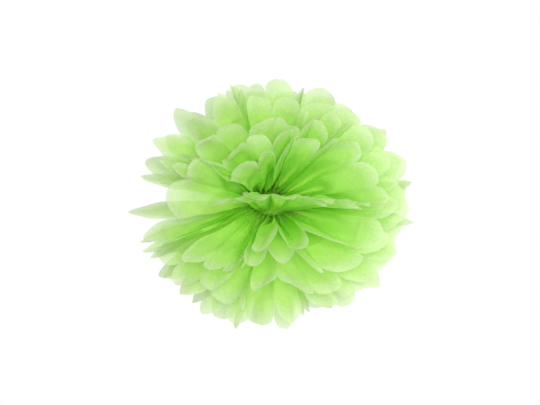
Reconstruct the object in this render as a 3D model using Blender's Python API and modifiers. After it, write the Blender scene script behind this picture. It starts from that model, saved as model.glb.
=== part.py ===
"""Tissue paper pom pom: ten pleated sheets of tissue, tied at the middle and pulled apart into a ball.

The tie is at the origin. The pleated strip runs along Z, its two ends open as an upper and a lower fan,
and the side edges of the fans meet along a seam on the X axis. The layers are pulled towards the front
(-Y) and the back (+Y), half of the sheets to each side. Sizes are in metres, +Z is up.
"""
import math

import bmesh
import bpy
import numpy as np

# The cut sheet and its pleats
PLEAT_WIDTH = 0.0417
ROUND_END = 0.0205
PAPER_THICKNESS = 0.0003

# How far the rounded petal ends lie from the tie
REACH_AT_SEAM = 0.1765
REACH_AT_CREST = 0.159

# Layers from the front of the ball to its middle, as angles from the front pole in degrees.
# The seam angle is where a sheet's side edges lie, the crest angle is the middle of a fan.
SEAM_ANGLES = (34.0, 45.5, 57.0, 68.5, 80.0)
UPPER_CREST_ANGLES = (22.0, 35.0, 48.0, 62.0, 76.0)
LOWER_CREST_ANGLES = (19.0, 30.0, 45.0, 61.0, 77.0)
# Half of the gap between a sheet's two fans along the seam, and how much higher each seam lies than
# the one of the next layer outwards
SEAM_MARGIN = 1.6
SEAM_STEP = 0.8

# How the petals of each layer were fluffed, in the same order. Folds are degrees along the rim from the
# +X edge to the other. Tips are how far each petal leans from the pole, in degrees.
UPPER_FOLDS = (
    (0, 12, 27, 41, 44, 65, 68, 71, 90, 130, 137, 158, 180),
    (0, 9, 23, 39, 43, 61, 65, 77, 106, 137, 154, 172, 180),
    (0, 15, 30, 45, 59, 63, 81, 101, 122, 143, 152, 168, 180),
    (0, 8, 22, 38, 54, 72, 90, 107, 111, 128, 146, 162, 180),
    (0, 13, 27, 42, 58, 75, 80, 97, 112, 122, 139, 158, 180),
)
UPPER_TIPS = (
    (50, 48, 44, 40, 32, 27, 22, 18, 16, 22, 28, 33),
    (59, 57, 54, 50, 44, 38, 33, 29, 27, 32, 38, 43),
    (68, 66, 63, 59, 54, 46, 43, 39, 41, 46, 50, 55),
    (76, 75, 73, 70, 66, 61, 59, 60, 58, 58, 64, 68),
    (84, 84, 82, 80, 78, 76, 76, 78, 78, 76, 79, 82),
)
LOWER_FOLDS = (
    (0, 20, 40, 52, 62, 76, 88, 98, 108, 122, 136, 158, 180),
    (0, 13, 29, 33, 58, 62, 98, 103, 119, 133, 148, 162, 180),
    (0, 10, 26, 50, 54, 76, 103, 108, 129, 148, 158, 169, 180),
    (0, 16, 32, 47, 62, 80, 102, 107, 127, 147, 158, 169, 180),
    (0, 8, 23, 39, 57, 74, 78, 95, 112, 129, 147, 163, 180),
)
LOWER_TIPS = (
    (60, 52, 40, 30, 22, 18, 18, 22, 30, 40, 46, 50),
    (64, 57, 42, 29, 22, 18, 26, 33, 40, 45, 50, 56),
    (72, 66, 52, 43, 34, 28, 36, 43, 50, 56, 60, 64),
    (78, 74, 64, 55, 44, 42, 48, 54, 60, 66, 70, 74),
    (84, 83, 79, 74, 68, 62, 68, 72, 75, 78, 81, 83),
)
# The innermost lower fan at the front is pushed up until its rim crosses in front of the tie. Its folds
# lie this many degrees to the right of the front pole and below it.
BAND_ACROSS = (50, 41, 33, 31, 22, 20, 9, 6.5, -2.5, -14, -16, -26, -36)
BAND_BELOW = (3, 2, 1, 1, -1, -1, -1.5, -2.5, -4, -1, 0, 2, 4)
PLEAT_COUNT = len(UPPER_TIPS[0])
# The pleats open into petals between these distances from the tie. Each petal is cupped by a share of
# what its spare width asks, and by no more than the limit in degrees, so that the layers stay apart.
OPENING_START = 0.045
OPENING_END = 0.120
CUP_SHARE = 0.75
CUP_ANGLE_LIMIT = 6.0

# The gathered middle of the strip, inside the tie. The radius leaves a margin round the stack of sheets.
SHEET_PITCH = 0.00095
BUNDLE_MARGIN = 0.0009
BUNDLE_RADIUS = len(SEAM_ANGLES) * SHEET_PITCH - SHEET_PITCH / 2.0 + BUNDLE_MARGIN
BUNDLE_FADE = 0.021
INNER_FAN_OPEN_LENGTH = 0.025
MIDDLE_FAN_OPEN_LENGTH = 0.021
LAYER_OPEN_LENGTH = 0.040

# The pleats stay pressed flat by the tie and reach their full depth further out
PLEAT_START = 0.013
PLEAT_FULL = 0.054
PLEAT_ANGLE_LIMITS = (11.0, 13.0, 15.0, 17.0, 18.0)
# The pleats of the inner layers lie behind the fan's own direction by this share of their depth
PLEAT_SET_BACK = (1.0, 0.8, 0.6, 0.3, 0.0)

# How much the fluffed petals differ from each other
LEAN_SPREAD = 1.6
REACH_SPREAD = 0.006
FLUFF_START = 0.070
FLUFF_SEED = 11

# The tie
WIRE_DIAMETER = 0.0009
WIRE_CLEARANCE = 0.0004
WIRE_POINTS = 24

# Rings of the mesh, as shares of the straight part of a pleat, and the faces across one pleat there
RING_SHARES = (0.0, 0.035, 0.13, 0.27, 0.50, 0.76)
RING_FACES = (1, 1, 1, 1, 2, 2)
RIM_FACES = 4

FRONT_SHEETS = len(SEAM_ANGLES)
SHEET_COUNT = 2 * FRONT_SHEETS
PAPER_COLOUR = (0.36, 0.72, 0.13, 1.0)
WIRE_COLOUR = (0.55, 0.55, 0.56, 1.0)


def smooth_rise(value, start, end):
    """Goes smoothly from 0 at start to 1 at end."""
    share = np.clip((value - start) / (end - start), 0.0, 1.0)
    return share * share * (3.0 - 2.0 * share)


def fluff_values(sheet, half):
    """Two rows of fixed random values from -1 to 1, one value for each fold and each pleat middle."""
    source = np.random.RandomState(FLUFF_SEED + 2 * sheet + (half > 0))
    return source.uniform(-1.0, 1.0, (2, 2 * PLEAT_COUNT + 1))


def layer_of(sheet):
    """Which layer a sheet is, from its own pole to the middle of the ball, and -1 at the front."""
    side = -1 if sheet < FRONT_SHEETS else 1
    return (sheet if side < 0 else SHEET_COUNT - 1 - sheet), side


def fluffed_folds(sheet, half, margin):
    """Where the folds of a fan lie when it is fluffed, on a flat map round the pole, in radians."""
    layer, side = layer_of(sheet)
    lower = half < 0
    if sheet == 0 and lower:
        return np.radians(BAND_ACROSS), np.radians(BAND_BELOW)
    folds = np.radians((LOWER_FOLDS if lower and side < 0 else UPPER_FOLDS)[layer])
    tips = np.radians((LOWER_TIPS if lower and side < 0 else UPPER_TIPS)[layer])
    tips = np.concatenate([tips[:1], (tips[:-1] + tips[1:]) / 2.0, tips[-1:]])
    turn = margin + folds * (1.0 - 2.0 * margin / math.pi)
    return tips * np.cos(turn), tips * np.sin(turn)


def fan_surface(sheet, half, across, ring):
    """Points of one fan of one sheet.

    across counts pleats from the +X side edge. ring is the share of the pleat's straight length, and
    above 1 it runs into the rounded petal end. The surface is measured in polar form about the tie:
    each point has a distance and a direction, and the direction is given by a seam angle and a crest
    angle from the pole, so the layers stay nested. The zigzag of the pleats is added to these angles.
    Towards the rim the folds move to the places of the fluffed petals, and each petal is cupped.
    """
    layer, side = layer_of(sheet)
    lower = half < 0
    seam_angle = math.radians(SEAM_ANGLES[layer])
    crest_angle = math.radians((LOWER_CREST_ANGLES if lower and side < 0 else UPPER_CREST_ANGLES)[layer])
    lean_values, reach_values = fluff_values(sheet, half)
    lattice = np.arange(2 * PLEAT_COUNT + 1) / 2.0
    lean = np.interp(across, lattice, lean_values)
    longer = np.interp(across, lattice, reach_values)
    pleat = np.minimum(np.floor(across), PLEAT_COUNT - 1).astype(int)
    from_middle = np.abs(2.0 * (across - pleat) - 1.0)

    height = np.sin(across / PLEAT_COUNT * math.pi)
    reach = REACH_AT_SEAM + (REACH_AT_CREST - REACH_AT_SEAM) * height ** 2
    distance = np.minimum(ring, 1.0) * (reach - ROUND_END)
    distance = distance + np.maximum(ring - 1.0, 0.0) * ROUND_END * np.sqrt(1.0 - from_middle ** 2)
    fluff = smooth_rise(distance, FLUFF_START, REACH_AT_CREST)
    distance = distance + REACH_SPREAD * longer * fluff

    folds = np.arange(PLEAT_COUNT + 1)
    opening = smooth_rise(distance, OPENING_START, OPENING_END)
    margin = math.radians(SEAM_MARGIN + half * SEAM_STEP * (FRONT_SHEETS // 2 - layer))
    full_turn = margin + across / PLEAT_COUNT * (math.pi - 2.0 * margin)
    open_length = np.interp(layer, (0, FRONT_SHEETS - 1), (INNER_FAN_OPEN_LENGTH, MIDDLE_FAN_OPEN_LENGTH))
    turn = math.pi / 2 + (full_turn - math.pi / 2) * smooth_rise(distance, 0.0, open_length)
    pull = smooth_rise(distance, 0.0, LAYER_OPEN_LENGTH)
    seam = math.pi / 2 + (seam_angle - math.pi / 2) * pull
    crest = math.pi / 2 + (crest_angle - math.pi / 2) * pull

    round_pitch = math.pi * np.hypot(np.sin(seam) * np.sin(turn), np.sin(crest) * np.cos(turn))
    even_pitch = np.minimum(distance * round_pitch / PLEAT_COUNT, PLEAT_WIDTH)
    zigzag = np.sqrt(PLEAT_WIDTH ** 2 - even_pitch ** 2) / 2.0 / np.maximum(distance, PLEAT_START)
    zigzag = np.minimum(zigzag, math.radians(PLEAT_ANGLE_LIMITS[layer]))
    zigzag = zigzag * smooth_rise(distance, PLEAT_START, PLEAT_FULL) * (1.0 - opening)
    wave = 1.0 - 2.0 * np.abs(1.0 - np.mod(across, 2.0))
    fold_x, fold_z = fluffed_folds(sheet, half, margin)
    chord = np.hypot(np.diff(fold_x), np.diff(fold_z))[pleat]
    open_pitch = np.minimum(distance * chord, PLEAT_WIDTH)
    cup = np.sqrt(PLEAT_WIDTH ** 2 - open_pitch ** 2) / 2.0 / np.maximum(distance, PLEAT_START)
    cup = np.minimum(cup * CUP_SHARE, math.radians(CUP_ANGLE_LIMIT))
    cup = cup * (1.0 - from_middle ** 1.6) * opening ** 2
    tilt = zigzag * (PLEAT_SET_BACK[layer] - side * half * wave) + cup + math.radians(LEAN_SPREAD) * lean * fluff
    even_x = seam_angle * np.cos(full_turn)
    even_z = crest_angle * np.sin(full_turn)
    flat_x = seam * np.cos(turn) + (np.interp(across, folds, fold_x) - even_x) * opening
    flat_z = crest * np.sin(turn) + (np.interp(across, folds, fold_z) - even_z) * opening
    polar = np.maximum(np.hypot(flat_x, flat_z), math.radians(8.0))
    crossing = opening * (sheet == 0 and lower)
    flat_z = flat_z + tilt * (crossing + (1.0 - crossing) * flat_z / polar)
    flat_x = flat_x + tilt * (1.0 - crossing) * flat_x / polar
    polar = np.hypot(flat_x, flat_z)
    spread = np.sin(polar) / np.maximum(polar, 1e-9) * distance
    fade = np.exp(-(distance / BUNDLE_FADE) ** 2)
    stack_y = (sheet - (SHEET_COUNT - 1) / 2.0) * SHEET_PITCH
    neck_x = math.sqrt(BUNDLE_RADIUS ** 2 - stack_y ** 2) * (1.0 - 2.0 * across / PLEAT_COUNT)
    x = spread * flat_x + neck_x * fade
    y = side * np.cos(polar) * distance + stack_y * fade
    z = half * spread * flat_z
    return np.stack([x, y, z], axis=-1)


def stitch(bm, inner, outer):
    """Fills the band between two rings, whose face counts are equal or one to two."""
    step = (len(outer) - 1) // (len(inner) - 1)
    for i in range(len(inner) - 1):
        a, b = inner[i], inner[i + 1]
        ends = outer[i * step:(i + 1) * step + 1]
        bm.faces.new((a, ends[0], ends[1]))
        bm.faces.new((a, ends[1], b))
        if step == 2:
            bm.faces.new((b, ends[1], ends[2]))


def make_material(name, colour, roughness, metallic):
    material = bpy.data.materials.new(name)
    material.use_nodes = True
    shader = material.node_tree.nodes["Principled BSDF"]
    shader.inputs["Base Color"].default_value = colour
    shader.inputs["Roughness"].default_value = roughness
    shader.inputs["Metallic"].default_value = metallic
    return material


def add_to(collection, name, data, material):
    item = bpy.data.objects.new(name, data)
    data.materials.append(material)
    collection.objects.link(item)
    return item


def make_sheet(collection, sheet, material):
    """One sheet of tissue: a gathered middle that opens into two pleated fans with rounded petals."""
    bm = bmesh.new()
    middle = None
    for half in (1, -1):
        inner = None
        for ring, faces in zip(RING_SHARES + (2.0,), RING_FACES + (RIM_FACES,)):
            across = np.arange(PLEAT_COUNT * faces + 1) / faces
            if ring == 0.0 and middle is not None:
                row = middle
            else:
                row = [bm.verts.new(p) for p in fan_surface(sheet, half, across, ring)]
            if ring == 0.0:
                middle = row
            if inner is not None:
                stitch(bm, inner, row)
            inner = row
    bmesh.ops.recalc_face_normals(bm, faces=bm.faces)
    mesh = bpy.data.meshes.new(f"sheet_{sheet + 1:02d}")
    bm.to_mesh(mesh)
    bm.free()
    item = add_to(collection, mesh.name, mesh, material)
    wall = item.modifiers.new("paper", "SOLIDIFY")
    wall.thickness = PAPER_THICKNESS
    wall.offset = 0.0
    return item


def make_tie_wire(collection, material):
    """A closed loop of thin wire round the gathered middle of the strip."""
    curve = bpy.data.curves.new("tie_wire", "CURVE")
    curve.dimensions = "3D"
    curve.bevel_depth = WIRE_DIAMETER / 2.0
    curve.bevel_resolution = 1
    spline = curve.splines.new("POLY")
    spline.points.add(WIRE_POINTS - 1)
    radius = BUNDLE_RADIUS + WIRE_CLEARANCE + WIRE_DIAMETER / 2.0
    for i, point in enumerate(spline.points):
        angle = 2.0 * math.pi * i / WIRE_POINTS
        point.co = (radius * math.cos(angle), radius * math.sin(angle), 0.0, 1.0)
    spline.use_cyclic_u = True
    return add_to(collection, "tie_wire", curve, material)


def build():
    for item in list(bpy.data.objects):
        bpy.data.objects.remove(item, do_unlink=True)
    collection = bpy.data.collections.new("tissue_pom_pom")
    bpy.context.scene.collection.children.link(collection)
    wire = make_material("binding_wire", WIRE_COLOUR, 0.35, 1.0)
    make_tie_wire(collection, wire)
    for sheet in range(SHEET_COUNT):
        tissue = make_material(f"green_tissue_{sheet + 1:02d}", PAPER_COLOUR, 0.85, 0.0)
        make_sheet(collection, sheet, tissue)


build()
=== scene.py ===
"""Tissue paper pom pom, dressed for the picture: ten pleated tissue sheets, fluffed petal by petal."""
import math

import bpy
import numpy as np
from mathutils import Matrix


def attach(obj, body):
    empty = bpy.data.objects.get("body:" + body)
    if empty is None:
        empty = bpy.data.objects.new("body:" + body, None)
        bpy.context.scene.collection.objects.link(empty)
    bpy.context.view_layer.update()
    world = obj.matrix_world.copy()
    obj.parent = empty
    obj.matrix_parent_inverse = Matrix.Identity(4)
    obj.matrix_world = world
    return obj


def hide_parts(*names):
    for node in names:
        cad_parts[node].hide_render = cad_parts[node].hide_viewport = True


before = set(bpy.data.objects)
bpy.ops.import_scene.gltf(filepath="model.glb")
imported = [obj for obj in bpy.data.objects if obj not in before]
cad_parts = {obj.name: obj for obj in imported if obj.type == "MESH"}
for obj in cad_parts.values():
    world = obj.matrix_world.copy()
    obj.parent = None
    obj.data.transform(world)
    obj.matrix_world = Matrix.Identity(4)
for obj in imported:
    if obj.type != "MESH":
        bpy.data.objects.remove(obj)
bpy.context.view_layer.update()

# Green tissue.
# Thin dyed tissue paper, about 17 g/m2: it scatters light off its face and through to the other side, and a
# little passes straight through between the fibres. Colour builds up where light meets several layers.
# Painted shade and light: the paper's own green, painted deeper and more saturated in the heart, where the
# layers shade each other, and paler at the tips, where light shines through one layer.
LIT_TIP_COLOUR = (0.60, 0.86, 0.29, 1.0)
HEART_SHADE_COLOUR = (0.64, 1.0, 0.15, 1.0)
# Painted highlight: the cut rim is painted a paler green where it catches the light.
RIM_HIGHLIGHT_COLOUR = (0.80, 0.92, 0.60, 1.0)
RIM_HIGHLIGHT_SHARE = 0.85
SHEER_SHARE = 0.13
THROUGH_SHARE = 0.50
# Lengths along the paper in metres: the tie's place on the strip, where the painted shade of the heart starts
# to give way to the paler painted light of the tips and where that is complete, counted from the tie, and the
# widths of the painted highlight at the rim and of the thin rim.
TIE_PLACE = 0.175
SHADE_FADES = (0.050, 0.145)
RIM_HIGHLIGHT_WIDTH = 0.024
THIN_RIM = 0.060
CLOUD_SCALE = 260.0
STREAK_SCALE = (420.0, 26.0, 1.0)
STREAK_DEPTH = 0.0011
STREAK_STRENGTH = 0.14


def map_range(nodes, start_range, end_range):
    """A node that maps one range of values onto another and stays within its ends."""
    node = nodes.new("ShaderNodeMapRange")
    node.inputs["From Min"].default_value, node.inputs["From Max"].default_value = start_range
    node.inputs["To Min"].default_value, node.inputs["To Max"].default_value = end_range
    return node


def tissue_material():
    """Diffuse paper mixed with light that passes through, with cloudy fibres and fine drawn creases."""
    material = bpy.data.materials.new("green_tissue")
    material.use_nodes = True
    nodes, links = material.node_tree.nodes, material.node_tree.links
    nodes.clear()
    out = nodes.new("ShaderNodeOutputMaterial")
    face = nodes.new("ShaderNodeBsdfDiffuse")
    through = nodes.new("ShaderNodeBsdfTranslucent")
    sheer = nodes.new("ShaderNodeBsdfTransparent")
    body = nodes.new("ShaderNodeMixShader")
    whole = nodes.new("ShaderNodeMixShader")
    body.inputs[0].default_value = THROUGH_SHARE
    links.new(face.outputs[0], body.inputs[1])
    links.new(through.outputs[0], body.inputs[2])
    links.new(body.outputs[0], whole.inputs[1])
    links.new(sheer.outputs[0], whole.inputs[2])
    links.new(whole.outputs[0], out.inputs["Surface"])

    # Painted shade and light: the paper's own green is painted deeper and more saturated in the heart, where
    # the layers shade each other, paler towards the tips, where light passes through a single layer, and
    # palest at the cut rim as a painted highlight.
    paper = nodes.new("ShaderNodeUVMap")
    paper.uv_map = "paper"
    place = nodes.new("ShaderNodeSeparateXYZ")
    links.new(paper.outputs[0], place.inputs[0])
    from_tie = nodes.new("ShaderNodeMath")
    from_tie.operation = "SUBTRACT"
    from_tie.inputs[1].default_value = TIE_PLACE
    links.new(place.outputs["Y"], from_tie.inputs[0])
    length = nodes.new("ShaderNodeMath")
    length.operation = "ABSOLUTE"
    links.new(from_tie.outputs[0], length.inputs[0])
    shade_fading = map_range(nodes, SHADE_FADES, (0.0, 1.0))
    links.new(length.outputs[0], shade_fading.inputs["Value"])
    painted_shade = nodes.new("ShaderNodeMix")
    painted_shade.data_type = "RGBA"
    painted_shade.inputs["A"].default_value = HEART_SHADE_COLOUR
    painted_shade.inputs["B"].default_value = LIT_TIP_COLOUR
    links.new(shade_fading.outputs[0], painted_shade.inputs["Factor"])
    # Painted highlight: a pale colour is laid over the paper near the cut rim, where the petals catch the
    # light.
    edge = nodes.new("ShaderNodeUVMap")
    edge.uv_map = "edge"
    from_edge = nodes.new("ShaderNodeSeparateXYZ")
    links.new(edge.outputs[0], from_edge.inputs[0])
    rim_highlight = map_range(nodes, (0.0, RIM_HIGHLIGHT_WIDTH), (RIM_HIGHLIGHT_SHARE, 0.0))
    links.new(from_edge.outputs["Y"], rim_highlight.inputs["Value"])
    colour = nodes.new("ShaderNodeMix")
    colour.data_type = "RGBA"
    colour.inputs["B"].default_value = RIM_HIGHLIGHT_COLOUR
    links.new(painted_shade.outputs["Result"], colour.inputs["A"])
    links.new(rim_highlight.outputs[0], colour.inputs["Factor"])
    links.new(colour.outputs["Result"], face.inputs["Color"])
    links.new(colour.outputs["Result"], through.inputs["Color"])

    # The paper is sheerer where its fibres are thin, in clouds and at the rim.
    cloud = nodes.new("ShaderNodeTexNoise")
    cloud.inputs["Scale"].default_value = CLOUD_SCALE
    cloud.inputs["Detail"].default_value = 6.0
    cloud.inputs["Roughness"].default_value = 0.65
    links.new(paper.outputs[0], cloud.inputs["Vector"])
    thin = map_range(nodes, (0.0, THIN_RIM), (2.0, 0.6))
    links.new(from_edge.outputs["Y"], thin.inputs["Value"])
    window = map_range(nodes, (0.35, 0.70), (SHEER_SHARE * 0.75, SHEER_SHARE * 1.25))
    links.new(cloud.outputs["Fac"], window.inputs["Value"])
    sheerness = nodes.new("ShaderNodeMath")
    sheerness.operation = "MULTIPLY"
    links.new(window.outputs[0], sheerness.inputs[0])
    links.new(thin.outputs[0], sheerness.inputs[1])
    links.new(sheerness.outputs[0], whole.inputs[0])

    # Fine creases run along the strip.
    drawn = nodes.new("ShaderNodeMapping")
    drawn.inputs["Scale"].default_value = STREAK_SCALE
    links.new(paper.outputs[0], drawn.inputs["Vector"])
    streaks = nodes.new("ShaderNodeTexNoise")
    streaks.inputs["Scale"].default_value = 1.0
    streaks.inputs["Detail"].default_value = 3.0
    links.new(drawn.outputs[0], streaks.inputs["Vector"])
    relief = nodes.new("ShaderNodeBump")
    relief.inputs["Strength"].default_value = STREAK_STRENGTH
    relief.inputs["Distance"].default_value = STREAK_DEPTH
    links.new(streaks.outputs["Fac"], relief.inputs["Height"])
    links.new(relief.outputs[0], face.inputs["Normal"])
    links.new(relief.outputs[0], through.inputs["Normal"])
    return material


tissue = tissue_material()

# The ten sheets.
# Each is a 0.50 x 0.35 m piece, pleated into twelve panels with the other nine, gathered by the wire at its
# middle, cut round at both ends and fluffed by hand into petals. It stays one piece of paper.
PANEL_WIDTH = 0.0417
PANELS = 12
BUNDLE_RADIUS = 0.0052
SHEET_PITCH = 0.00095
COLUMNS = 24
ROWS = 72

# The length of paper from the tie to the rim, in metres: the reach at the seam and at the crest, what was
# trimmed off the crest of a lower and an upper fan, the depth of a petal's round end, how much deeper a
# leaf's pointed end is cut, and the notch on the upper left.
REACH_AT_SEAM = 0.1765
REACH_AT_CREST = 0.159
CREST_TRIM = (0.005, 0.008)
ROUND_END = 0.0205
LEAF_CUT = 0.022
NOTCH_DEPTH, NOTCH_PLACE, NOTCH_WIDTH = 0.013, 149.0, 11.0
ROUND_POWER, LEAF_POWER, SEAM_POWER = 2.3, 1.0, 0.6

# The five layers of one half, from the pole to the middle of the ball. The even fan's half width towards
# the seam and towards the crest, the turn of every other layer that sets its petals over the gaps, and how
# far neighbouring folds are pushed in and out, all in degrees.
SEAM_ANGLES = (34.0, 45.5, 57.0, 68.5, 80.0)
CREST_ANGLES = (22.0, 35.0, 48.0, 62.0, 76.0)
STAGGER = (-4.0, 4.8)
ACCORDION_ANGLES = (1.6, 2.6, 3.2, 3.4, 3.4)
CUP_LIMITS = (28.0, 24.0, 24.0, 24.0, 24.0)

# How each front sheet was fluffed, from the front of the ball to its middle, upper fan and lower fan.
# Folds are degrees along the rim from the +X side of the seam to the other. Tips are how far from the
# front pole each petal leans, in degrees.
UPPER_FOLDS = (
    (0, 12, 27, 41, 44, 63, 65, 67, 91, 138, 142, 160, 187),
    (0, 8, 22, 38, 43, 60, 64, 77, 106, 137, 154, 170, 175),
    (0, 16, 31, 46, 58, 62, 81, 101, 122, 143, 150, 160, 168),
    (0, 6, 20, 35, 50, 68, 86, 102, 106, 123, 141, 157, 172),
    (0, 13, 27, 42, 57, 72, 77, 92, 107, 111, 126, 141, 155),
)
UPPER_TIPS = (
    (60, 58, 50, 44, 34, 28, 22, 18, 17, 24, 33, 38),
    (68, 66, 62, 56, 50, 42, 36, 30, 28, 32, 39, 46),
    (75, 72, 69, 62, 54, 44, 41, 36, 41, 48, 51, 60),
    (83, 77, 79, 72, 70, 64, 60, 68, 62, 58, 66, 72),
    (82, 86, 82, 84, 81, 82, 84, 82, 84, 82, 76, 62),
)
LOWER_FOLDS = (
    (0, 20, 40, 52, 62, 76, 88, 98, 108, 122, 136, 158, 180),
    (0, 12, 29, 33, 56, 59, 100, 107, 119, 133, 147, 152, 159),
    (0, 9, 25, 46, 50, 80, 110, 113, 131, 148, 162, 175, 186),
    (0, 16, 32, 47, 61, 79, 99, 103, 121, 136, 149, 156, 163),
    (0, 7, 21, 36, 51, 66, 70, 85, 99, 114, 129, 144, 152),
)
LOWER_TIPS = (
    (60, 52, 40, 30, 22, 18, 18, 22, 30, 40, 46, 50),
    (62, 54, 40, 27, 22, 18.5, 26, 34, 38, 44, 70, 80),
    (74, 66, 46, 40, 26, 24, 36, 44, 55, 72, 77, 80),
    (78, 79, 68, 60, 42, 43, 48, 53, 62, 76, 80, 82),
    (87, 83, 80, 76, 73, 71, 73, 76, 76, 80, 84, 87),
)
# The picture doesn't show the back, so both fans of a back sheet are fluffed in this even way. The spread
# makes its folds stop short of the seam on the -X side.
BACK_FOLDS = (
    (0, 12, 27, 41, 44, 65, 68, 71, 90, 130, 137, 158, 180),
    (0, 9, 23, 39, 43, 61, 65, 77, 106, 137, 154, 172, 180),
    (0, 15, 30, 45, 59, 63, 81, 101, 122, 143, 152, 168, 180),
    (0, 8, 22, 38, 54, 72, 90, 107, 111, 128, 146, 162, 180),
    (0, 14, 28, 42, 56, 71, 75, 89, 104, 109, 124, 139, 154),
)
BACK_TIPS = (
    (50, 48, 44, 40, 32, 27, 22, 18, 16, 22, 28, 33),
    (59, 57, 54, 50, 44, 38, 33, 29, 27, 32, 38, 43),
    (68, 66, 63, 59, 54, 46, 43, 39, 41, 46, 50, 55),
    (76, 75, 73, 70, 66, 61, 59, 60, 58, 58, 60, 60),
    (87, 86, 87, 86, 87, 85, 86, 87, 86, 86, 76, 62),
)
BACK_SPREAD = (0.95, 0.95, 0.93, 0.88, 1.0)
# The innermost lower fan at the front is pushed up until its rim crosses in front of the tie as a band. Its
# folds lie this many degrees to the right of the front pole and below it.
BAND_ACROSS = (64, 51, 38, 48, 35, 22, 32, 19, 6, -7, 4, -9, -21)
BAND_BELOW = (2, 1, -0.5, 1.5, -0.5, -2, 0.5, -1.5, -3, -4, -1.5, -1.5, 1.5)
# Petals that lie flat like a blade. For a sheet and its upper (1) or lower (-1) fan: their panels, how flat
# each is, and the folds that aren't pushed in or out.
FLAT_PETALS = {
    (0, 1): ((8, 10, 11), (0.8, 0.8, 0.8), slice(10, 13)),
    (0, -1): ((0, 11), (0.8, 0.8), slice(0, 0)),
    (1, -1): ((5, 8, 9), (0.8, 1.0, 1.0), slice(8, 11)),
}


def smooth_rise(value, start, end):
    """Goes smoothly from 0 at start to 1 at end."""
    share = np.clip((value - start) / (end - start), 0.0, 1.0)
    return share * share * (3.0 - 2.0 * share)


def crumple(source, across, along, sizes, heights):
    """Sum of sine waves over the paper, each with its own size, direction and phase from the source."""
    total = np.zeros(np.broadcast(across, along).shape)
    for size, height in zip(sizes, heights):
        for _ in range(3):
            heading = source.uniform(0.0, math.pi)
            phase = source.uniform(0.0, 2.0 * math.pi)
            wave = across * math.cos(heading) + along * math.sin(heading) * 0.6
            total = total + height / 1.7 * np.sin(2.0 * math.pi * wave / size + phase)
    return total


def fluffing(side, half, layer):
    """Fold angles and tip angles of one fan, from the tables."""
    if side > 0:
        return np.array(BACK_FOLDS[layer]) * BACK_SPREAD[layer], np.array(BACK_TIPS[layer], float)
    if half > 0:
        return np.array(UPPER_FOLDS[layer], float), np.array(UPPER_TIPS[layer], float)
    return np.array(LOWER_FOLDS[layer], float), np.array(LOWER_TIPS[layer], float)


def panel_columns():
    """Places across the fan counted in panels, closer together at the folds, and each one's panel."""
    turn = np.linspace(0.0, math.pi, COLUMNS + 1)[:-1]
    column = np.concatenate([(p + (1.0 - np.cos(turn)) / 2.0) for p in range(PANELS)] + [[float(PANELS)]])
    return column, np.minimum(np.floor(column), PANELS - 1).astype(int)


def paper_reach(source, half, layer, column, even, sway):
    """Length of paper from the tie to the rim at each column.

    It goes from the seam's reach to the crest's as the square of a sine. Each panel's end is cut as a
    rounded curve of a power of the place across it, more pointed on the -X side, and each petal was pulled
    or trimmed to a slightly different length, from the source.
    """
    leaf = smooth_rise(column, PANELS * 0.72, PANELS * 0.86) if layer > 0 else 0.0 * column
    at_seam = 1.0 - smooth_rise(column, PANELS * 0.1, PANELS * 0.3)
    full = ROUND_POWER - LEAF_POWER * leaf - SEAM_POWER * at_seam
    rim_cut = 1.0 - np.maximum(1.0 - np.abs(sway) ** full, 0.0) ** (1.0 / full)
    rim_cut = (ROUND_END + LEAF_CUT * leaf) * rim_cut
    height = np.sin(even)
    reach = REACH_AT_SEAM + (REACH_AT_CREST - REACH_AT_SEAM) * height ** 2
    reach = reach - CREST_TRIM[int(half > 0)] * height ** 2
    longer = source.uniform(-1.0, 1.0, 2 * PANELS + 1) * (0.005 + 0.0013 * layer)
    reach = reach + np.interp(column, np.arange(2 * PANELS + 1) / 2.0, longer) - rim_cut
    if half > 0 and layer > 1:
        reach = reach - NOTCH_DEPTH * np.exp(-((np.degrees(even) - NOTCH_PLACE) / NOTCH_WIDTH) ** 2)
    return reach


def fluffed_folds(source, sheet, half, layer, margin):
    """Places of the thirteen folds of a fluffed fan on the flat map, with its broad and its flat petals.

    A fold leans as far from the pole as the broad petals beside it, and neighbours are pushed in and out by
    turns. The innermost lower fan at the front takes its places from the band's table instead.
    """
    folds, tips = fluffing(-1 if sheet < 5 else 1, half, layer)
    broad_petal = np.diff(folds) * np.sin(np.radians(tips)) > 8.5
    kept = np.where(broad_petal, 1.0, 0.04)
    fold_tips = (tips[:-1] * kept[:-1] + tips[1:] * kept[1:]) / (kept[:-1] + kept[1:])
    fold_tips = np.concatenate([[tips[0]], fold_tips, [tips[-1]]])
    accordion = np.where(np.arange(PANELS + 1) % 2, -1.0, 1.0) * source.uniform(0.5, 1.2, PANELS + 1)
    flat_petal = np.zeros(PANELS)
    if (sheet, half) in FLAT_PETALS:
        panels, flatness, calm_folds = FLAT_PETALS[(sheet, half)]
        flat_petal[list(panels)] = flatness
        accordion[calm_folds] = 0.0
    fold_tips = np.radians(fold_tips + accordion * ACCORDION_ANGLES[layer])
    fold_angle = margin + np.radians(folds) * (1.0 - 2.0 * margin / math.pi)
    fold_x, fold_z = fold_tips * np.cos(fold_angle), fold_tips * np.sin(fold_angle)
    if sheet == 0 and half < 0:
        fold_x, fold_z = np.radians(BAND_ACROSS), np.radians(BAND_BELOW)
    return fold_x, fold_z, broad_petal, flat_petal


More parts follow.
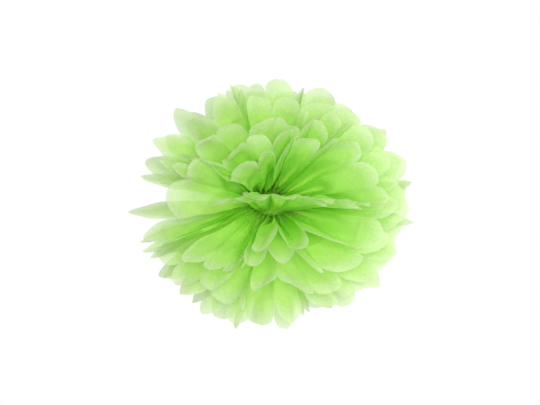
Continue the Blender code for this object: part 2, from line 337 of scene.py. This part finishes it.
def fan_points(sheet, half):
    """Points of one fan, as rows from the tie to the rim and columns across the twelve panels.

    A point lies at a distance along the paper from the tie, in a direction that is a place on a flat map
    round the pole: at the tie all columns point along the strip, then they spread evenly, then towards
    the rim they move to the fold places of the fluffed petals. Each panel bulges away from the pole as a
    parabola, by as much as its spare width asks, and what is left over lies in small creases by the tie.
    """
    side = -1 if sheet < 5 else 1
    layer = sheet if sheet < 5 else 9 - sheet
    band = 1.0 if sheet == 0 and half < 0 else 0.0
    source = np.random.RandomState(40 + 2 * sheet + (half > 0))
    column, panel = panel_columns()
    inside = column - panel
    sway = 2.0 * inside - 1.0
    bulge = 1.0 - sway ** 2
    even = column / PANELS * math.pi
    reach = paper_reach(source, half, layer, column, even, sway)
    distance = np.linspace(0.0, 1.0, ROWS + 1)[:, None] ** 1.15 * reach[None, :]

    # The even fan, opened from the strip's direction within the first few centimetres.
    seam, crest = math.radians(SEAM_ANGLES[layer]), math.radians(CREST_ANGLES[layer])
    margin = math.radians(STAGGER[(layer + (half < 0)) % 2])
    slim = margin + even * (1.0 - 2.0 * margin / math.pi)
    even_x, even_z = seam * np.cos(slim), crest * np.sin(slim)
    fan_open = smooth_rise(distance, 0.0, 0.022 - 0.003 * layer)
    pull = smooth_rise(distance, 0.0, 0.036 - 0.005 * layer)
    turning = math.pi / 2 + (slim - math.pi / 2) * fan_open
    early_x = (math.pi / 2 + (seam - math.pi / 2) * pull) * np.cos(turning)
    early_z = (math.pi / 2 + (crest - math.pi / 2) * pull) * np.sin(turning)

    # From there the folds move to the places that the fluffing gave them.
    fold_x, fold_z, broad_petal, flat_petal = fluffed_folds(source, sheet, half, layer, margin)
    places = np.arange(PANELS + 1)
    open_x, open_z = np.interp(column, places, fold_x), np.interp(column, places, fold_z)
    opening = smooth_rise(distance, 0.012 - 0.006 * band, 0.080 - 0.035 * band)
    flat_x = early_x + (open_x - even_x) * opening
    flat_z = early_z + (open_z - even_z) * opening

    # A panel keeps its width, so what its folds leave over goes into its cup.
    chord = np.hypot(np.diff(fold_x), np.diff(fold_z))[panel]
    even_chord = np.hypot(seam * np.sin(even), crest * np.cos(even)) * math.pi / PANELS
    pitch = np.minimum(distance * (even_chord + (chord - even_chord) * opening), PANEL_WIDTH)
    depth = np.sqrt(PANEL_WIDTH ** 2 - pitch ** 2) / 2.0
    cup = depth / np.maximum(distance, 0.013) * smooth_rise(distance, 0.006, 0.042)
    limit = math.radians(CUP_LIMITS[layer])
    broad = smooth_rise(chord, 0.13, 0.22)
    flatter = 1.0 - (0.45 + 0.35 * band) * broad * smooth_rise(distance, 0.080, 0.140)
    flatter = flatter * (1.0 - 0.8 * flat_petal[panel] * smooth_rise(distance, 0.02, 0.07))
    facing = np.where(broad_petal & (source.uniform(0.0, 1.0, PANELS) < 0.3), -0.5, 1.0)[panel]
    facing = 1.0 + (facing - 1.0) * smooth_rise(distance, 0.070, 0.120) * (1.0 - band)
    cup = limit * np.tanh(cup / limit) * bulge * flatter * facing * (1.0 - 0.25 * band)

    # The width that the cup can't take is crowded into four small creases a panel near the tie.
    shown = 2.0 * np.hypot(pitch / 2.0, np.abs(cup) / np.maximum(bulge, 0.05) * distance)
    spare = np.clip(PANEL_WIDTH / np.maximum(shown, 0.004), 1.0, 2.6)
    creases = np.sqrt(spare ** 2 - 1.0) * shown / 10.0 / np.maximum(distance, 0.010)
    creases = creases * smooth_rise(distance, 0.004, 0.012)
    creases = creases * (1.0 - smooth_rise(distance, 0.032 + 0.02 * band, 0.075 + 0.02 * band))
    cup = cup + creases * (1.0 - 2.0 * np.abs(1.0 - np.mod(4.0 * inside, 2.0)))
    polar = np.maximum(np.hypot(flat_x, flat_z), 0.02)
    cup_x, cup_z = flat_x / polar * (1.0 - band), flat_z / polar * (1.0 - band) + band
    droop = smooth_rise(distance, 0.02, 0.07) * (1.0 - smooth_rise(distance, 0.09, 0.16))
    flat_z = flat_z - band * math.radians(4.0) * droop

    # Handling leaves each petal with its own lean, curl and twist, and the paper softly crumpled.
    lattice = np.arange(2 * PANELS + 1) / 2.0
    lean = np.interp(column, lattice, source.uniform(-1.0, 1.0, 2 * PANELS + 1))
    curl = source.uniform(-1.0, 1.0, PANELS)[panel] * bulge
    twist = source.uniform(-1.0, 1.0, PANELS)[panel] * sway * bulge
    late = smooth_rise(distance, 0.070, 0.165)
    loose = 1.0 - 0.7 * band
    tilt = cup + math.radians(1.8) * loose * lean * late
    tilt = tilt + math.radians(3.0 + 0.6 * layer) * loose * (curl + twist) * late ** 2
    paper_x = (column * PANEL_WIDTH)[None, :]
    waves = crumple(source, paper_x, distance, (0.034, 0.019, 0.010), (0.0016, 0.0005, 0.00015))
    tilt = tilt + waves / np.maximum(distance, 0.03) * smooth_rise(distance, 0.02, 0.12)
    flat_x = flat_x + cup_x * tilt
    flat_z = flat_z + cup_z * tilt
    sideways = crumple(source, paper_x, distance, (0.045, 0.022), (0.0012, 0.0006))
    sideways = sideways / np.maximum(distance, 0.03) * smooth_rise(distance, 0.03, 0.14)
    flat_x, flat_z = flat_x - cup_z * sideways, flat_z + cup_x * sideways

    # The flat map is turned into directions, and the gathered neck of the strip keeps its own width.
    polar = np.hypot(flat_x, flat_z)
    spread = np.sin(polar) / np.maximum(polar, 1e-9) * distance
    fade = np.exp(-(distance / 0.021) ** 2)
    stack_y = (sheet - 4.5) * SHEET_PITCH
    neck_x = math.sqrt(BUNDLE_RADIUS ** 2 - stack_y ** 2) * (1.0 - 2.0 * column / PANELS)
    x = spread * flat_x + neck_x * fade
    y = side * np.cos(polar) * distance + stack_y * fade
    z = half * spread * flat_z
    paper = np.stack([
        np.broadcast_to(paper_x, distance.shape), half * distance + TIE_PLACE,
        np.broadcast_to(paper_x, distance.shape), reach[None, :] - distance,
    ], axis=-1)
    return np.stack([x, y, z], axis=-1), paper


def tissue_sheet(sheet):
    """One whole sheet: the lower fan's rows turned round and joined to the upper fan's at the tie."""
    upper, upper_paper = fan_points(sheet, 1)
    lower, lower_paper = fan_points(sheet, -1)
    points = np.concatenate([lower[::-1], upper[1:]])
    paper = np.concatenate([lower_paper[::-1], upper_paper[1:]])
    rows, columns = points.shape[:2]
    index = np.arange(rows * columns).reshape(rows, columns)
    quads = np.stack([index[:-1, :-1], index[:-1, 1:], index[1:, 1:], index[1:, :-1]], axis=-1).reshape(-1, 4)
    name = f"tissue_{sheet + 1:02d}"
    mesh = bpy.data.meshes.new(name)
    mesh.vertices.add(rows * columns)
    mesh.vertices.foreach_set("co", points.reshape(-1))
    mesh.loops.add(quads.size)
    mesh.loops.foreach_set("vertex_index", quads.reshape(-1))
    mesh.polygons.add(len(quads))
    mesh.polygons.foreach_set("loop_start", np.arange(0, quads.size, 4))
    mesh.update(calc_edges=True)
    mesh.shade_smooth()
    corners = paper.reshape(-1, 4)[quads.reshape(-1)]
    mesh.uv_layers.new(name="paper").data.foreach_set("uv", corners[:, :2].reshape(-1))
    mesh.uv_layers.new(name="edge").data.foreach_set("uv", corners[:, 2:].reshape(-1))
    mesh.validate()
    mesh.materials.append(tissue)
    piece = bpy.data.objects.new(name, mesh)
    bpy.context.scene.collection.objects.link(piece)
    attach(piece, "root")
    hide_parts(f"sheet_{sheet + 1:02d}")


for sheet_number in range(10):
    tissue_sheet(sheet_number)

# The tie.
# One turn of thin steel wire is closed round the middle of the strip and pinches the pleats together.
WIRE_RADIUS = 0.00045
WIRE_CLEARANCE = 0.0004
LOOP_RADIUS = BUNDLE_RADIUS + WIRE_CLEARANCE + WIRE_RADIUS
LOOP_STEPS = 96
WIRE_STEPS = 12
steel = bpy.data.materials.new("binding_wire")
steel.use_nodes = True
steel_shader = steel.node_tree.nodes["Principled BSDF"]
steel_shader.inputs["Base Color"].default_value = (0.55, 0.55, 0.56, 1.0)
steel_shader.inputs["Metallic"].default_value = 1.0
steel_shader.inputs["Roughness"].default_value = 0.32
round_turn = np.linspace(0.0, 2.0 * math.pi, LOOP_STEPS + 1)[:-1]
round_wire = np.linspace(0.0, 2.0 * math.pi, WIRE_STEPS + 1)[:-1]
# A circle of the wire's radius is carried round a circle of the loop's radius.
away = LOOP_RADIUS + WIRE_RADIUS * np.cos(round_wire)[None, :]
loop_points = np.stack([
    away * np.cos(round_turn)[:, None],
    away * np.sin(round_turn)[:, None],
    np.broadcast_to(WIRE_RADIUS * np.sin(round_wire)[None, :], (LOOP_STEPS, WIRE_STEPS)),
], axis=-1)
turns, ways = np.meshgrid(np.arange(LOOP_STEPS), np.arange(WIRE_STEPS), indexing="ij")
next_turns, next_ways = (turns + 1) % LOOP_STEPS, (ways + 1) % WIRE_STEPS
loop_faces = np.stack([
    turns * WIRE_STEPS + ways, next_turns * WIRE_STEPS + ways,
    next_turns * WIRE_STEPS + next_ways, turns * WIRE_STEPS + next_ways,
], axis=-1).reshape(-1, 4)
wire_mesh = bpy.data.meshes.new("tie_loop")
wire_mesh.from_pydata(loop_points.reshape(-1, 3).tolist(), [], loop_faces.tolist())
wire_mesh.shade_smooth()
wire_mesh.materials.append(steel)
tie = bpy.data.objects.new("tie_loop", wire_mesh)
bpy.context.scene.collection.objects.link(tie)
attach(tie, "root")
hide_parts("tie_wire")

# The floor.
# A plain pale floor well below the hanging ball, which fades into the white surround at its rim.
FLOOR_HEIGHT = -0.52
FLOOR_RADIUS = 1.1
FLOOR_STEPS = 96
FLOOR_FADES = (0.75, 1.16)
floor_turn = np.linspace(0.0, 2.0 * math.pi, FLOOR_STEPS + 1)[:-1]
floor_points = np.stack([
    FLOOR_RADIUS * np.cos(floor_turn), FLOOR_RADIUS * np.sin(floor_turn),
    np.full(FLOOR_STEPS, FLOOR_HEIGHT),
], axis=-1)
floor_mesh = bpy.data.meshes.new("floor")
floor_mesh.from_pydata(floor_points.tolist(), [], [list(range(FLOOR_STEPS))])
floor = bpy.data.objects.new("floor", floor_mesh)
bpy.context.scene.collection.objects.link(floor)
pale = bpy.data.materials.new("pale_floor")
pale.use_nodes = True
pale_nodes, pale_links = pale.node_tree.nodes, pale.node_tree.links
pale_nodes.clear()
pale_out = pale_nodes.new("ShaderNodeOutputMaterial")
pale_face = pale_nodes.new("ShaderNodeBsdfDiffuse")
pale_face.inputs["Color"].default_value = (0.86, 0.86, 0.86, 1.0)
pale_glow = pale_nodes.new("ShaderNodeEmission")
pale_mix = pale_nodes.new("ShaderNodeMixShader")
pale_place = pale_nodes.new("ShaderNodeTexCoord")
pale_radius = pale_nodes.new("ShaderNodeVectorMath")
pale_radius.operation = "LENGTH"
pale_fade = map_range(pale_nodes, FLOOR_FADES, (0.0, 1.0))
pale_path = pale_nodes.new("ShaderNodeLightPath")
pale_camera = pale_nodes.new("ShaderNodeMath")
pale_camera.operation = "MULTIPLY"
pale_links.new(pale_place.outputs["Object"], pale_radius.inputs[0])
pale_links.new(pale_radius.outputs["Value"], pale_fade.inputs["Value"])
pale_links.new(pale_fade.outputs[0], pale_camera.inputs[0])
pale_links.new(pale_path.outputs["Is Camera Ray"], pale_camera.inputs[1])
pale_links.new(pale_camera.outputs[0], pale_mix.inputs[0])
pale_links.new(pale_face.outputs[0], pale_mix.inputs[1])
pale_links.new(pale_glow.outputs[0], pale_mix.inputs[2])
pale_links.new(pale_mix.outputs[0], pale_out.inputs["Surface"])
floor_mesh.materials.append(pale)

# The white surround and the studio lamps.
# A white studio lights the ball from all sides, with a soft lamp by the camera, a broad one high on the
# right and one behind the ball, which shines through the paper.
SURROUND_LIGHT = 0.45
world = bpy.data.worlds.new("white_surround")
bpy.context.scene.world = world
world.use_nodes = True
sky_nodes, sky_links = world.node_tree.nodes, world.node_tree.links
sky_nodes.clear()
sky_out = sky_nodes.new("ShaderNodeOutputWorld")
sky_seen = sky_nodes.new("ShaderNodeBackground")
sky_seen.inputs["Color"].default_value = (1.0, 1.0, 1.0, 1.0)
sky_seen.inputs["Strength"].default_value = 1.0
sky_light = sky_nodes.new("ShaderNodeBackground")
sky_light.inputs["Color"].default_value = (1.0, 1.0, 1.0, 1.0)
sky_light.inputs["Strength"].default_value = SURROUND_LIGHT
sky_mix = sky_nodes.new("ShaderNodeMixShader")
sky_path = sky_nodes.new("ShaderNodeLightPath")
sky_any = sky_nodes.new("ShaderNodeMath")
sky_any.operation = "MAXIMUM"
sky_links.new(sky_path.outputs["Is Camera Ray"], sky_any.inputs[0])
sky_links.new(sky_path.outputs["Is Glossy Ray"], sky_any.inputs[1])
sky_links.new(sky_any.outputs[0], sky_mix.inputs[0])
sky_links.new(sky_light.outputs[0], sky_mix.inputs[1])
sky_links.new(sky_seen.outputs[0], sky_mix.inputs[2])
sky_links.new(sky_mix.outputs[0], sky_out.inputs["Surface"])


def studio_lamp(name, place, size, power):
    """A square soft lamp that faces the ball."""
    data = bpy.data.lights.new(name, "AREA")
    data.shape = "SQUARE"
    data.size = size
    data.energy = power
    lamp = bpy.data.objects.new(name, data)
    bpy.context.scene.collection.objects.link(lamp)
    lamp.location = place
    outward = np.array(place) / np.linalg.norm(place)
    lamp.rotation_euler = (math.acos(outward[2]), 0.0, math.atan2(outward[0], -outward[1]))
    lamp.visible_camera = False


studio_lamp("upper_right_lamp", (1.5, -0.6, 0.9), 1.2, 12.0)
studio_lamp("front_lamp", (0.30, -2.0, 0.10), 0.6, 33.0)
studio_lamp("back_lamp", (1.3, 1.5, 0.5), 1.4, 12.0)

# The camera stands level with the ball, at the picture's distance.
CAMERA_TURN = math.radians(5.0)
CAMERA_DISTANCE = 1.346
view = bpy.data.cameras.new("picture_camera")
view.lens = 70.0
view.sensor_width = 36.0
camera = bpy.data.objects.new("picture_camera", view)
bpy.context.scene.collection.objects.link(camera)
camera.location = (CAMERA_DISTANCE * math.sin(CAMERA_TURN), -CAMERA_DISTANCE * math.cos(CAMERA_TURN), 0.0)
camera.rotation_euler = (math.pi / 2, 0.0, CAMERA_TURN)
bpy.context.scene.camera = camera
bpy.context.scene.view_settings.view_transform = "Standard"
